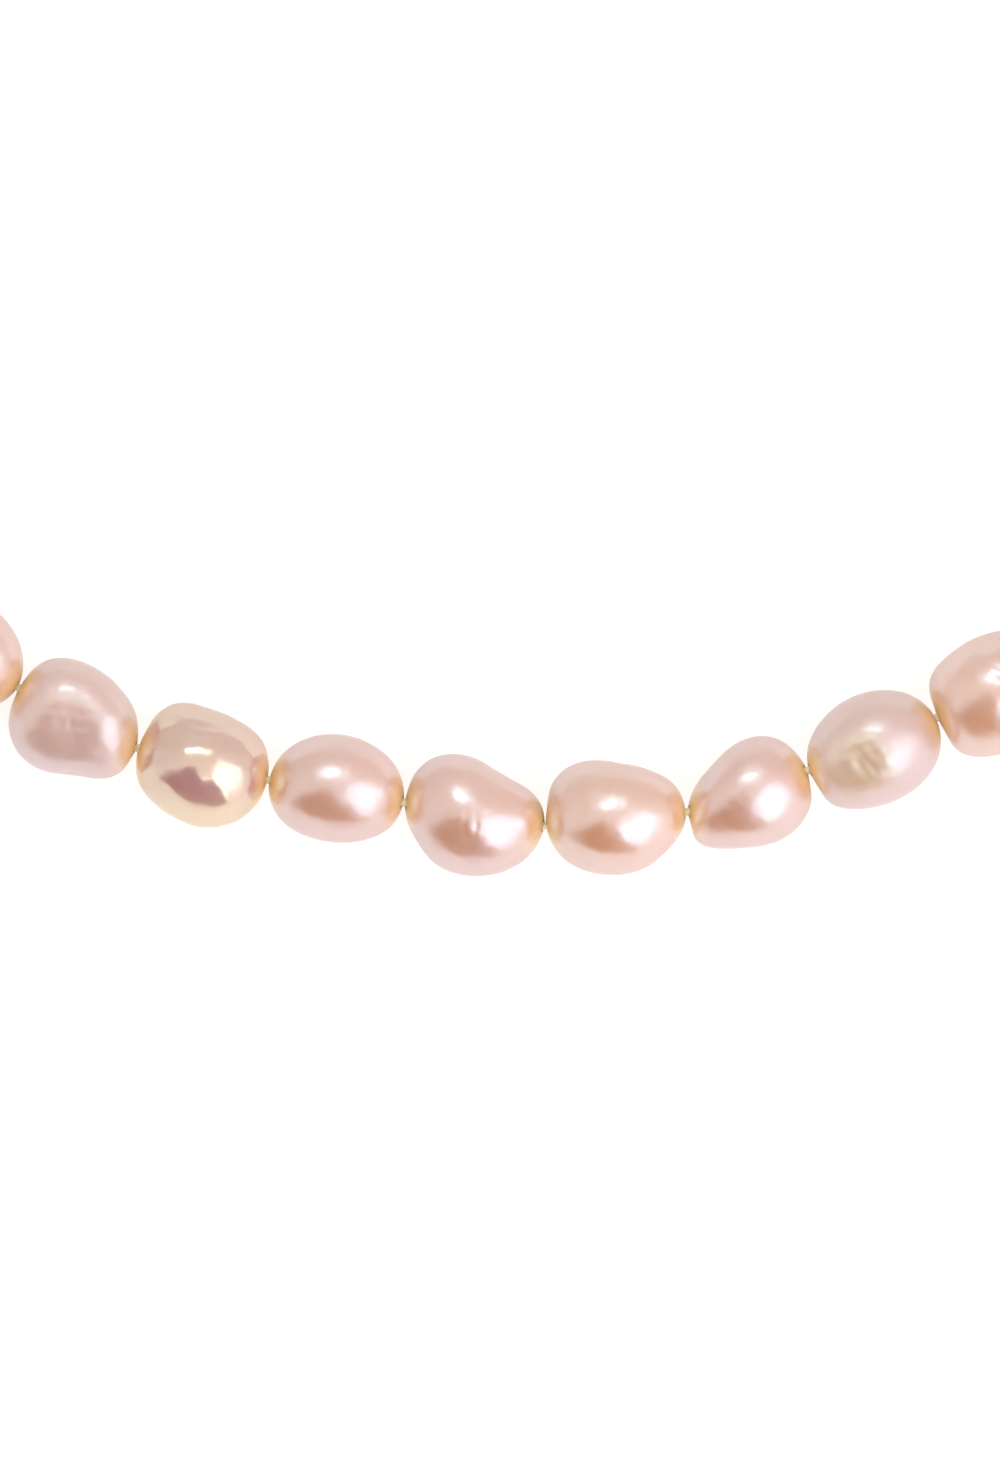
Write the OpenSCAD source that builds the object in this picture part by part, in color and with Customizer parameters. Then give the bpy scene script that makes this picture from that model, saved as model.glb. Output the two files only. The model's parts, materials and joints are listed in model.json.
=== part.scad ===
// Baroque pearl necklace: 44 drilled pearls on one thread, ended by two clamshell
// bead tips, with a lobster claw on one end and a catch tab on the other.
// It lies unfastened on the plane Z = 0, in a round loop whose front faces -Y.
// The origin is the bottom centre of the loop. Lengths are millimetres.

/* [Pearls] */
// Mean length of a pearl along the thread, with its gap
mean_length = 9.65; // [9:0.05:10.5]
// How far a pearl's length strays from the mean
length_spread = 0.4; // [0:0.05:0.5]
// Mean thickness of a pearl across the thread
mean_thickness = 8.1; // [7.5:0.05:8.4]
// How far a pearl's thickness strays from the mean
thickness_spread = 0.25; // [0:0.05:0.3]
// Free space between two neighbouring pearls, along the thread
pearl_gap = 0.2; // [0.16:0.02:0.4]
// Diameter of the hole drilled through each pearl
bore_d = 0.9; // [0.8:0.05:1.1]

/* [Loop] */
// Mean turn from one pearl to the next, in degrees
side_bend = 6.9; // [6.8:0.05:7.2]
// How far that turn strays from the mean, in degrees
bend_spread = 1.5; // [0:0.1:2]
// Turn from the last pearl to its bead tip, in degrees
tail_bend = 5; // [0:1:8]
// Fall of each bead tip towards the table, in degrees
tail_slope = 18; // [17:1:19]

/* [Thread] */
// Diameter of the thread
thread_d = 0.6; // [0.4:0.05:0.65]
// Number of sides of the thread's section
thread_sides = 8; // [6:1:12]
// Diameter of the knot inside each bead tip
knot_d = 1.9; // [1.4:0.1:2.2]

/* [Bead tips] */
// Outer diameter of the clamshell cup
cup_d = 4.0; // [3.6:0.1:4.2]
// Wall thickness of the cup
cup_wall = 0.3; // [0.25:0.05:0.4]
// Width of the seam between the two shells
seam_w = 0.12; // [0.1:0.01:0.2]
// Wire diameter of the closed loop
loop_wire_d = 0.7; // [0.6:0.05:0.8]

/* [Jump rings] */
// Wire diameter of a jump ring
ring_wire_d = 0.8; // [0.7:0.05:0.85]
// Mean diameter of a jump ring
ring_d = 3.8; // [3.7:0.05:3.9]

/* [Lobster claw] */
// Thickness of the claw's body
claw_t = 2.4; // [2.2:0.1:2.6]
// Thickness of the lever
lever_t = 1.0; // [0.8:0.1:1.1]
// Free space beside the lever in its slot
lever_play = 0.1; // [0.08:0.02:0.16]
// Diameter of the rivet
rivet_d = 0.7; // [0.6:0.05:0.8]

/* [Catch tab] */
// Thickness of the tab
tab_t = 0.8; // [0.6:0.1:1]
// Diameter of the hole that the claw hooks into
catch_hole_d = 3.0; // [2.8:0.1:3.2]
// Distance between the tab's two holes
tab_length = 4.4; // [4.2:0.1:5]

/* [Hidden] */
$fn = 48;

count = 44;       // pearls on the thread
centre = 22;      // the loop's foremost point is the gap after this pearl
first_front = 18; // the first of the pearls that are shaped one by one
last_front = 26;  // and the last of them

// The front pearls, left to right: [length, thickness, fat end, tilt].
// The fat end is how much the widest point lies towards the right, as a part of half a length.
front_pearls = [
  [9.9, 8.1, 0, 0],
  [9.4, 7.9, 0, -6],
  [9.5, 8.1, 0, -5],
  [9.7, 7.7, 0, 2],
  [10.05, 7.6, 0, -4],
  [10.05, 8.0, -0.12, -4],
  [9.0, 7.3, 0.2, 5],
  [9.8, 8.0, -0.06, 4],
  [10.0, 8.2, 0, 0]
];
// The turn after each front pearl but the last, left to right, in degrees.
front_bends = [7.5, 13.3, 4, 0.2, 15, 13.5, 3, 8];
centre_heading = 5.6; // heading of the pearl right of the foremost gap, in degrees

// Round lobes that stand out of a pearl: [pearl, along, inwards, radius].
// Along runs from the pearl's middle to its right, inwards to the loop's centre.
lobes = [
  [22, -1.5, 1.2, 3.2],
  [22, 0.6, -0.8, 3.6],
  [23, -1.2, 0.5, 3.7],
  [24, 0.8, -0.1, 3.6],
  [25, -1.0, -0.6, 3.8]
];

// Measures wander from pearl to pearl: a sine taken at odd steps, in degrees, doesn't repeat.
function wander(i, step) = sin(i * step);
egg_spread = 0.12;
tilt_spread = 4;

// A pearl's own measures.
function is_front(i) = i >= first_front && i <= last_front;
function front(i) = front_pearls[i - first_front];
function pitch(i) = is_front(i) ? front(i)[0] : mean_length + length_spread * wander(i, 137);
function thickness(i) =
  is_front(i) ? front(i)[1] : mean_thickness + thickness_spread * wander(i, 79);
function fat_end(i) = is_front(i) ? front(i)[2] : egg_spread * wander(i, 101);
function tilt(i) = is_front(i) ? front(i)[3] : tilt_spread * wander(i, 53);

// The strand's walk: headings, then the pivots in the gaps, pivot i lying after pearl i.
function bend(i) = i >= first_front && i < last_front
  ? front_bends[i - first_front] : side_bend + bend_spread * wander(i, 151);
function turn(from, to) = from > to ? 0 : bend(from) + turn(from + 1, to);
function heading(i) = i > centre
  ? centre_heading + turn(centre + 1, i - 1) : centre_heading - turn(i, centre);
function step(i) = pitch(i) * [cos(heading(i)), sin(heading(i))];
function walk(from, to) = from > to ? [0, 0] : step(from) + walk(from + 1, to);
raw_pivots = [for (i = [0:count]) i > centre ? walk(centre + 1, i) : -walk(i + 1, centre)];
raw_x = [for (p = raw_pivots) p.x];
raw_y = [for (p = raw_pivots) p.y];
clasp_reach = 7;   // how far the clasp stands out behind the last pivots
pearl_reach = 3.4; // and the front pearls before the foremost one
shift = -[max(raw_x) + min(raw_x), max(raw_y) + clasp_reach + min(raw_y) - pearl_reach] / 2;
pivots = [for (p = raw_pivots) p + shift];

// Heights. Every pearl rests on the table, and every bore lies at the same height.
strand_z = max([for (i = [1:count]) thickness(i) / 2]);

// The ends of the strand. Each tail starts at the last pivot and runs outwards along +X.
left_heading = heading(1) + 180 - tail_bend;
right_heading = heading(count) + tail_bend;
cup_x = pearl_gap + cup_d / 2;
loop_r = 1.15;
loop_x = cup_x + cup_d / 2 + loop_r + loop_wire_d / 2 - cup_wall / 2;
ring_play = 0.2;
// The point on the tail's slope where the jump ring passes through the loop
ring_grip = loop_x + loop_r - loop_wire_d / 2 - ring_wire_d / 2 - ring_play;
ring_x = ring_grip * cos(tail_slope) + ring_d / 2;
ring_z = strand_z - ring_grip * sin(tail_slope);
eye_hole_r = 0.85;
eye_wall = 0.8;
eye_play = 0.25; // free space between the ring's wire and the eye's hole
// The middle of the eye that hangs on the outer side of a jump ring
eye_x = ring_x + ring_d / 2 - ring_wire_d / 2 - eye_play + eye_hole_r;

// The claw, from its eye at the origin to its nose along +X.
neck = [2.6, 1.6, 1.0]; // flat neck between the eye and the body
rivet_at = [4.3, 1.35];
hub_r = 1.0;            // round end of the lever, on the rivet
cheek_r = 1.25;         // round end of the body's cheeks, over the hub
heel_at = [3.3, -1.35]; // the body's back corner across from the rivet
heel_r = 0.8;
opening_back = 6.7;
opening_front = 9.2;
opening_back_r = 1.75;
opening_front_r = 1.3;
opening_inset = 0.35;   // the opening's wide end lies this far in front of the outline's
claw_wall = 1.05;
mouth_y = 0.3;          // the lever closes the claw on this side of its middle
tip_x = 8.8;            // where the hook's tip ends
mouth_play = 0.12;      // gap between the hook's tip and the closed lever
slot_w = lever_t + 2 * lever_play;
slot_back = 1.7;        // the slot starts this far behind the rivet
slot_floor = 1.15;      // and this far beside it, towards the opening
root_reach = 1.6;       // depth that the lever's root swings into, from the rivet
thumb_at = [-0.5, 1.5]; // the thumb piece's middle, from the rivet
thumb_r = 0.75;
thumb_neck = [0.9, 1.1];
rivet_play = 0.04;      // free space round the rivet in the lever
rivet_proud = 0.05;     // how far each end of the rivet stands out
coil_r = 0.74;          // the spring's outer radius
coil_h = 0.38;
coil_play = 0.06;       // free space round the spring, inside and out
well_h = coil_h + 0.04; // depth of the round well in the lever that holds the spring
nose_x = opening_front + opening_front_r + claw_wall;
claw_slope = asin((ring_z - claw_t / 2) / nose_x);
tab_rim = 0.8;
tab_slope = asin((ring_z - tab_t / 2) / (tab_length + catch_hole_d / 2 + tab_rim));

// Half of an egg's outline, turned about X. Its widest point moves towards the fat end.
fullness = 0.96; // below 1 the ends are rounder than an ellipse's
outline_step = 9;
function egg_point(a, half, r, fat) =
  [-half * cos(a), r * pow(sin(a), fullness) * (1 - fat * cos(a))];
module egg(half, r, fat) {
  points = [for (a = [0:outline_step:180]) egg_point(a, half, r, fat)];
  rotate([0, 90, 0]) rotate_extrude() polygon([for (p = points) [max(p.y, 0), p.x]]);
}

// Places children at pearl i's middle, +X along the thread and +Y towards the loop's centre.
module at_pearl(i) {
  middle = (pivots[i - 1] + pivots[i]) / 2;
  translate([middle.x, middle.y, strand_z]) rotate(heading(i)) children();
}

tone_spread = 0.05;
module pearl(i) {
  tone = [0.93, 0.76 + tone_spread * wander(i, 67), 0.72 + tone_spread * wander(i, 113)];
  half = (pitch(i) - pearl_gap) / 2;
  r = thickness(i) / 2;
  color(tone) at_pearl(i) difference() {
    translate([0, 0, r - strand_z]) union() {
      rotate(tilt(i)) egg(half, r, fat_end(i));
      for (l = lobes) if (l[0] == i) translate([l[1], l[2], 0]) sphere(l[3]);
    }
    rotate([0, 90, 0]) cylinder(d = bore_d, h = 2 * pitch(i), center = true);
  }
}

// Places children at a tail's start: +X outwards and level, +Z up. Side is -1 or 1.
module at_tail(side) {
  at = side < 0 ? pivots[0] : pivots[count];
  translate([at.x, at.y, 0]) rotate(side < 0 ? left_heading : right_heading) children();
}

// The same, sloping down from the last pivot.
module on_slope(side) {
  at_tail(side) translate([0, 0, strand_z]) rotate([0, tail_slope, 0]) children();
}

// The thread runs straight through each pearl and bends in the gaps.
knot_entry = cup_x + knot_d / 4;
function tail_point(side) = let (
    at = side < 0 ? pivots[0] : pivots[count],
    turn = side < 0 ? left_heading : right_heading,
    out = knot_entry * cos(tail_slope)
  ) [at.x + out * cos(turn), at.y + out * sin(turn), strand_z - knot_entry * sin(tail_slope)];
route = concat([tail_point(-1)], [for (p = pivots) [p.x, p.y, strand_z]], [tail_point(1)]);
function unit(v) = v / norm(v);
function along(i) = unit(
  (i < len(route) - 1 ? unit(route[i + 1] - route[i]) : [0, 0, 0])
  + (i > 0 ? unit(route[i] - route[i - 1]) : [0, 0, 0]));
function ring_points(i) = let (side = unit(cross(along(i), [0, 0, 1])), up = cross(side, along(i)))
  [for (k = [0:thread_sides - 1]) let (a = 360 * k / thread_sides)
    route[i] + thread_d / 2 * (cos(a) * side + sin(a) * up)];

module silk_thread() {
  n = thread_sides;
  last = len(route) - 1;
  points = [for (i = [0:last]) each ring_points(i)];
  walls = [for (i = [0:last - 1], k = [0:n - 1])
    [i * n + k, (i + 1) * n + k, (i + 1) * n + (k + 1) % n, i * n + (k + 1) % n]];
  start = [[for (k = [0:n - 1]) k]];
  end = [[for (k = [n - 1:-1:0]) last * n + k]];
  color([0.93, 0.84, 0.62]) polyhedron(points, concat(walls, start, end));
}

// A round ring of wire in the XY plane.
module wire_ring(mean_r, wire) {
  rotate_extrude() translate([mean_r, 0]) circle(d = wire);
}

// The cup's section, cut by its axis Y. The thread's hole is on the -Y side.
module cup_section() {
  difference() {
    circle(d = cup_d);
    circle(d = cup_d - 2 * cup_wall);
    translate([-cup_d, -cup_d]) square([cup_d, 2 * cup_d]);
    translate([0, -cup_d]) square([bore_d / 2, cup_d]);
  }
}

// Two shells folded over the knot, joined on the side of the loop.
module bead_tip(side) {
  color([0.86, 0.86, 0.88]) on_slope(side) difference() {
    union() {
      translate([cup_x, 0, 0]) rotate([90, 0, 90]) rotate_extrude() cup_section();
      translate([loop_x, 0, 0]) wire_ring(loop_r, loop_wire_d);
    }
    translate([0, -cup_d / 2, -seam_w / 2]) cube([cup_x + cup_d / 4, cup_d, seam_w]);
  }
}

module end_knot(side) {
  color([0.9, 0.8, 0.58]) on_slope(side) difference() {
    translate([cup_x, 0, 0]) sphere(d = knot_d);
    rotate([0, 90, 0]) cylinder(d = bore_d, h = knot_entry + pearl_gap);
  }
}

module jump_ring(side) {
  color([0.86, 0.86, 0.88]) at_tail(side) translate([ring_x, 0, ring_z])
    rotate([90, 0, 0]) wire_ring(ring_d / 2, ring_wire_d);
}

// Places children at the claw's eye, +X towards its nose.
module at_claw() {
  at_tail(-1) translate([eye_x, 0, ring_z]) rotate([0, claw_slope, 0]) children();
}

// The claw's outer and inner outlines, and the side that the lever closes.
module claw_outer() {
  hull() {
    translate([opening_back, 0]) circle(opening_back_r + claw_wall);
    translate([opening_front, 0]) circle(opening_front_r + claw_wall);
    translate(rivet_at) circle(cheek_r);
    translate(heel_at) circle(heel_r);
  }
}

module claw_inner() {
  hull() {
    translate([opening_back + opening_inset, 0]) circle(opening_back_r);
    translate([opening_front, 0]) circle(opening_front_r);
  }
}

module lever_side(play) {
  translate([rivet_at.x, mouth_y]) square([tip_x - rivet_at.x - play, nose_x]);
}

module at_rivet() {
  translate([rivet_at.x, rivet_at.y, 0]) children();
}

// The lever turns in this slot. It is deeper in front of the rivet, where the lever swings in.
module lever_slot() {
  run = tip_x - rivet_at.x;
  at_rivet() translate([-slot_back, -slot_floor, -slot_w / 2]) cube([slot_back + run, run, slot_w]);
  at_rivet() translate([0, -root_reach, -slot_w / 2]) cube([root_reach, root_reach, slot_w]);
}

module claw_body() {
  color([0.86, 0.86, 0.88]) at_claw() difference() {
    union() {
      cylinder(r = eye_hole_r + eye_wall, h = neck.z, center = true);
      translate([eye_hole_r + eye_wall / 2, -neck.y / 2, -neck.z / 2]) cube(neck);
      linear_extrude(claw_t, center = true) difference() {
        claw_outer();
        claw_inner();
        difference() {
          lever_side(0);
          translate(rivet_at) circle(cheek_r);
        }
      }
    }
    cylinder(r = eye_hole_r, h = claw_t, center = true);
    lever_slot();
    at_rivet() cylinder(d = rivet_d, h = 2 * claw_t, center = true);
  }
}

module claw_lever() {
  color([0.8, 0.8, 0.83]) at_claw() difference() {
    linear_extrude(lever_t, center = true) union() {
      translate(rivet_at) circle(hub_r);
      translate(rivet_at + thumb_at) circle(thumb_r);
      translate(rivet_at + [-thumb_neck.x, thumb_at.y - thumb_neck.y]) square(thumb_neck);
      difference() {
        intersection() {
          claw_outer();
          lever_side(mouth_play);
        }
        claw_inner();
      }
    }
    at_rivet() cylinder(d = rivet_d + 2 * rivet_play, h = claw_t, center = true);
    at_rivet() translate([0, 0, lever_t / 2 - well_h]) cylinder(r = coil_r + coil_play, h = lever_t);
  }
}

module claw_rivet() {
  color([0.7, 0.7, 0.74]) at_claw() at_rivet()
    cylinder(d = rivet_d, h = claw_t + 2 * rivet_proud, center = true);
}

// The torsion spring is a coil round the rivet, in the lever's well.
module claw_spring() {
  color([0.6, 0.6, 0.64]) at_claw() at_rivet()
    translate([0, 0, lever_t / 2 - coil_h / 2]) difference() {
      cylinder(r = coil_r, h = coil_h, center = true);
      cylinder(d = rivet_d + 2 * coil_play, h = 2 * coil_h, center = true);
    }
}

// A flat tab with a small hole for its jump ring and a large one for the claw.
module catch_tab() {
  color([0.86, 0.86, 0.88]) at_tail(1) translate([eye_x, 0, ring_z]) rotate([0, tab_slope, 0])
    difference() {
      hull() {
        cylinder(r = eye_hole_r + eye_wall, h = tab_t, center = true, $fn = 32);
        translate([tab_length, 0, 0])
          cylinder(r = catch_hole_d / 2 + tab_rim, h = tab_t, center = true, $fn = 32);
      }
      cylinder(r = eye_hole_r, h = 2 * tab_t, center = true);
      translate([tab_length, 0, 0]) cylinder(d = catch_hole_d, h = 2 * tab_t, center = true);
    }
}

pearl(1);  // pearl_01
pearl(2);  // pearl_02
pearl(3);  // pearl_03
pearl(4);  // pearl_04
pearl(5);  // pearl_05
pearl(6);  // pearl_06
pearl(7);  // pearl_07
pearl(8);  // pearl_08
pearl(9);  // pearl_09
pearl(10);  // pearl_10
pearl(11);  // pearl_11
pearl(12);  // pearl_12
pearl(13);  // pearl_13
pearl(14);  // pearl_14
pearl(15);  // pearl_15
pearl(16);  // pearl_16
pearl(17);  // pearl_17
pearl(18);  // pearl_18
pearl(19);  // pearl_19
pearl(20);  // pearl_20
pearl(21);  // pearl_21
pearl(22);  // pearl_22
pearl(23);  // pearl_23
pearl(24);  // pearl_24
pearl(25);  // pearl_25
pearl(26);  // pearl_26
pearl(27);  // pearl_27
pearl(28);  // pearl_28
pearl(29);  // pearl_29
pearl(30);  // pearl_30
pearl(31);  // pearl_31
pearl(32);  // pearl_32
pearl(33);  // pearl_33
pearl(34);  // pearl_34
pearl(35);  // pearl_35
pearl(36);  // pearl_36
pearl(37);  // pearl_37
pearl(38);  // pearl_38
pearl(39);  // pearl_39
pearl(40);  // pearl_40
pearl(41);  // pearl_41
pearl(42);  // pearl_42
pearl(43);  // pearl_43
pearl(44);  // pearl_44
silk_thread();
bead_tip(-1);  // bead_tip_left
bead_tip(1);  // bead_tip_right
end_knot(-1);  // end_knot_left
end_knot(1);  // end_knot_right
jump_ring(-1);  // jump_ring_left
jump_ring(1);  // jump_ring_right
claw_body();
claw_lever();
claw_rivet();
claw_spring();
catch_tab();
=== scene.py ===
import json
import math
import random

import bpy
import numpy as np
from mathutils import Matrix, Quaternion, Vector

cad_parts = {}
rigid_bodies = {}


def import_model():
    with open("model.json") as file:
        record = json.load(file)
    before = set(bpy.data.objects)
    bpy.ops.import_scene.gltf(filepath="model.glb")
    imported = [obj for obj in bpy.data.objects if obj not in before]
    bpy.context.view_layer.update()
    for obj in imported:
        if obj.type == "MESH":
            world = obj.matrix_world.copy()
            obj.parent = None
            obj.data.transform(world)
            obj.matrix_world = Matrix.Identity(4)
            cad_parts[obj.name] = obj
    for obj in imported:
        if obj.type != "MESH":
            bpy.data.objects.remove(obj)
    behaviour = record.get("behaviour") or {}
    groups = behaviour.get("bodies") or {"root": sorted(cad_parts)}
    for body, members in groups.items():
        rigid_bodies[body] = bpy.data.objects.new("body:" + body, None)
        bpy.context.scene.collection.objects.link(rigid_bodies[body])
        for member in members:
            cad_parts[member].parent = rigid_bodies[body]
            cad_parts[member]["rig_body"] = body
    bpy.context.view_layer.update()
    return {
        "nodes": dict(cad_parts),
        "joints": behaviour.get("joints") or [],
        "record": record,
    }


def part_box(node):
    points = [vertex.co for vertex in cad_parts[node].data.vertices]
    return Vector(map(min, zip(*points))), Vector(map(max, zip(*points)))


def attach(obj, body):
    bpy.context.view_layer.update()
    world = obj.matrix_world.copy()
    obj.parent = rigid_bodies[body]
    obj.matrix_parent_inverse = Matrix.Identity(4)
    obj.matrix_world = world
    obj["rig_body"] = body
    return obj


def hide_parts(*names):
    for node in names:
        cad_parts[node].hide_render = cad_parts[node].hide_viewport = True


MM = 0.001

# ---- the frame: what the CAD model says ---------------------------------------------------------

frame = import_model()

PEARLS = 44           # pearl_01 to pearl_44, left to right as seen from above
FRONT_GAP = 22        # the foremost gap of the loop comes after this pearl
PEARL_GAP = 0.1 * MM  # free space between two pearls along the thread
BORE_RADIUS = 0.45 * MM
THREAD_RADIUS = 0.3 * MM


def pearl_name(number):
    return f"pearl_{number:02d}"


def strand_pivots():
    """The points in the gaps where the thread bends: pivot 0 before pearl 1, pivot 44 after pearl 44."""
    by_pair = {(j["parent"], j["child"]): Vector(j["pos_m"]) for j in frame["joints"]}
    order = ["bead_tip_left"] + [pearl_name(n) for n in range(1, PEARLS + 1)] + ["bead_tip_right"]
    pivots = []
    for first, second in zip(order, order[1:]):
        pivots.append(by_pair.get((first, second)) or by_pair[(second, first)])
    return pivots


PIVOTS = strand_pivots()
STRAND_Z = PIVOTS[0].z

# ---- camera, lights and floor -------------------------------------------------------------------

VIEW_HEIGHT = 103.6 * MM             # what the long side of the picture spans at the pearls
VIEW_CENTRE = (-3.17 * MM, 6.37 * MM)  # the picture's middle, from the foremost gap
CAMERA_HEIGHT = 0.9
SENSOR = 36.0


def make_camera():
    """A long lens looking straight down on the front of the loop, with +Y up in the picture."""
    data = bpy.data.cameras.new("camera")
    data.sensor_width = SENSOR
    data.lens = SENSOR * CAMERA_HEIGHT / VIEW_HEIGHT
    data.clip_start = 0.01
    camera = bpy.data.objects.new("camera", data)
    front = PIVOTS[FRONT_GAP]
    camera.location = (front.x + VIEW_CENTRE[0], front.y + VIEW_CENTRE[1], STRAND_Z + CAMERA_HEIGHT)
    bpy.context.scene.collection.objects.link(camera)
    bpy.context.scene.camera = camera


def area_light(name, direction, distance, size, power, colour):
    """A soft box that faces the front of the loop from that direction. Its size is its width and
    height in metres."""
    data = bpy.data.lights.new(name, "AREA")
    data.shape = "RECTANGLE"
    data.size, data.size_y = size
    data.energy = power
    data.color = colour
    light = bpy.data.objects.new(name, data)
    towards = Vector(direction).normalized()
    light.location = PIVOTS[FRONT_GAP] + towards * distance
    light.rotation_mode = "QUATERNION"
    light.rotation_quaternion = towards.to_track_quat("Z", "Y")
    light.visible_camera = False
    bpy.context.scene.collection.objects.link(light)


def dark_card(name, directions, distance):
    """A black card with a corner in each direction, which only reflections see: the unlit side of
    the studio, where the photographer stands."""
    mesh = bpy.data.meshes.new(name)
    corners = [PIVOTS[FRONT_GAP] + Vector(d).normalized() * distance for d in directions]
    mesh.from_pydata([tuple(c) for c in corners], [], [tuple(range(len(corners)))])
    card = bpy.data.objects.new(name, mesh)
    card.visible_camera = False
    card.visible_diffuse = False
    card.visible_shadow = False
    card.visible_transmission = False
    material = bpy.data.materials.new(name)
    material.use_nodes = True
    shader = material.node_tree.nodes["Principled BSDF"]
    shader.inputs["Base Color"].default_value = (0.02, 0.015, 0.012, 1)
    shader.inputs["Roughness"].default_value = 1
    shader.inputs["Specular IOR Level"].default_value = 0
    mesh.materials.append(material)
    bpy.context.scene.collection.objects.link(card)


def make_world():
    """An even white tent, a little darker towards the clasp's side."""
    world = bpy.data.worlds.new("tent")
    bpy.context.scene.world = world
    world.use_nodes = True
    nodes, links = world.node_tree.nodes, world.node_tree.links
    place = nodes.new("ShaderNodeTexCoord")
    split = nodes.new("ShaderNodeSeparateXYZ")
    fall = nodes.new("ShaderNodeMapRange")
    fall.inputs["From Min"].default_value = -0.3
    fall.inputs["From Max"].default_value = 0.6
    fall.inputs["To Min"].default_value = 1.2
    fall.inputs["To Max"].default_value = 0.85
    links.new(place.outputs["Generated"], split.inputs[0])
    links.new(split.outputs["Y"], fall.inputs["Value"])
    links.new(fall.outputs["Result"], nodes["Background"].inputs["Strength"])
    nodes["Background"].inputs["Color"].default_value = (1.0, 0.965, 0.945, 1)


def make_floor():
    """A pale light table: partly lit from within, so that shadows stay soft and light."""
    half = 6.0
    mesh = bpy.data.meshes.new("floor")
    corners = [(-half, -half, 0), (half, -half, 0), (half, half, 0), (-half, half, 0)]
    mesh.from_pydata(corners, [], [(0, 1, 2, 3)])
    floor = bpy.data.objects.new("floor", mesh)
    floor.location.z = -0.02 * MM
    material = bpy.data.materials.new("floor")
    material.use_nodes = True
    shader = material.node_tree.nodes["Principled BSDF"]
    shader.inputs["Base Color"].default_value = (0.42, 0.42, 0.42, 1)
    shader.inputs["Roughness"].default_value = 0.6
    shader.inputs["Specular IOR Level"].default_value = 0.1
    shader.inputs["Emission Color"].default_value = (1.0, 0.97, 0.95, 1)
    shader.inputs["Emission Strength"].default_value = 0.68
    mesh.materials.append(material)
    bpy.context.scene.collection.objects.link(floor)


def make_studio():
    make_camera()
    make_world()
    make_floor()
    area_light("top_strip", (-0.05, 0.58, 0.80), 0.6, (0.22, 0.12), 0.6, (0.97, 0.98, 1.0))
    area_light("right_softbox", (0.60, -0.31, 0.73), 0.6, (0.74, 0.54), 2.35, (0.91, 0.87, 1.0))
    card = [(-0.14, 0.08, 0.99), (-0.9, -0.42, 0.12), (0, -0.97, 0.2), (0.5, -0.84, 0.2)]
    dark_card("unlit_side", card, 0.8)
    bpy.context.scene.view_settings.view_transform = "Standard"


# ---- small helpers for node materials -----------------------------------------------------------

def new_material(name):
    material = bpy.data.materials.new(name)
    material.use_nodes = True
    return material, material.node_tree.nodes, material.node_tree.links


def noise(nodes, links, place, scale, detail=2.0, roughness=0.5):
    node = nodes.new("ShaderNodeTexNoise")
    node.inputs["Scale"].default_value = scale
    node.inputs["Detail"].default_value = detail
    node.inputs["Roughness"].default_value = roughness
    links.new(place, node.inputs["Vector"])
    return node.outputs["Fac"]


def span(nodes, links, value, low, high, to_low=0.0, to_high=1.0):
    """Maps value's stretch from low to high onto to_low to to_high, smoothly."""
    node = nodes.new("ShaderNodeMapRange")
    node.interpolation_type = "SMOOTHSTEP"
    node.inputs["From Min"].default_value = low
    node.inputs["From Max"].default_value = high
    node.inputs["To Min"].default_value = to_low
    node.inputs["To Max"].default_value = to_high
    links.new(value, node.inputs["Value"])
    return node.outputs["Result"]


def mix(nodes, links, factor, first, second):
    """A colour between first and second. Each is a colour or another node's output."""
    node = nodes.new("ShaderNodeMix")
    node.data_type = "RGBA"
    links.new(factor, node.inputs["Factor"])
    for socket, value in ((node.inputs[6], first), (node.inputs[7], second)):
        if isinstance(value, tuple):
            socket.default_value = (*value, 1)
        else:
            links.new(value, socket)
    return node.outputs[2]


def attribute(nodes, name):
    node = nodes.new("ShaderNodeAttribute")
    node.attribute_name = name
    return node.outputs["Fac"]


def bump(nodes, links, height, distance, strength=1.0, under=None):
    node = nodes.new("ShaderNodeBump")
    node.inputs["Distance"].default_value = distance
    node.inputs["Strength"].default_value = strength
    links.new(height, node.inputs["Height"])
    if under is not None:
        links.new(under, node.inputs["Normal"])
    return node.outputs["Normal"]


# ---- materials ----------------------------------------------------------------------------------

# Each nacre: its body colour, the deeper colour of its clouds, its second tone, and its overtone:
# the tint and strength of what its layers mirror, and how rough that mirror is.
NACRES = {
    "nacre_pink": dict(body=(0.64, 0.28, 0.14), deep=(0.60, 0.24, 0.10), second=(0.60, 0.285, 0.185),
                       overtone=(0.66, 0.88, 1.0), lustre=0.97, roughness=0.345),
    "nacre_peach": dict(body=(0.67, 0.29, 0.12), deep=(0.62, 0.24, 0.08), second=(0.62, 0.285, 0.155),
                        overtone=(0.68, 0.89, 1.0), lustre=1.0, roughness=0.345),
    "nacre_cream": dict(body=(0.46, 0.22, 0.215), deep=(0.42, 0.18, 0.21), second=(0.56, 0.36, 0.23),
                        overtone=(0.87, 0.93, 0.68), lustre=0.97, roughness=0.22),
    "nacre_mauve": dict(body=(0.58, 0.31, 0.21), deep=(0.53, 0.27, 0.17), second=(0.54, 0.31, 0.26),
                        overtone=(0.71, 0.90, 1.0), lustre=0.80, roughness=0.41),
}
STAIN = (0.60, 0.39, 0.19)
PAINTED_BOUNCE_GLOW = (0.98, 0.62, 0.20)  # painted light: the warm bounce glow from neighbouring pearls, round a drill hole
SILVER = (0.64, 0.63, 0.62)
SPRING_STEEL = (0.50, 0.50, 0.52)
DULL = 0.82                # how much of a metal's colour is left where it has tarnished
SCRATCH_DEPTH = 0.002 * MM
SILK_DARK = (0.84, 0.68, 0.38)
SILK_LIGHT = (0.94, 0.82, 0.56)


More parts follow.
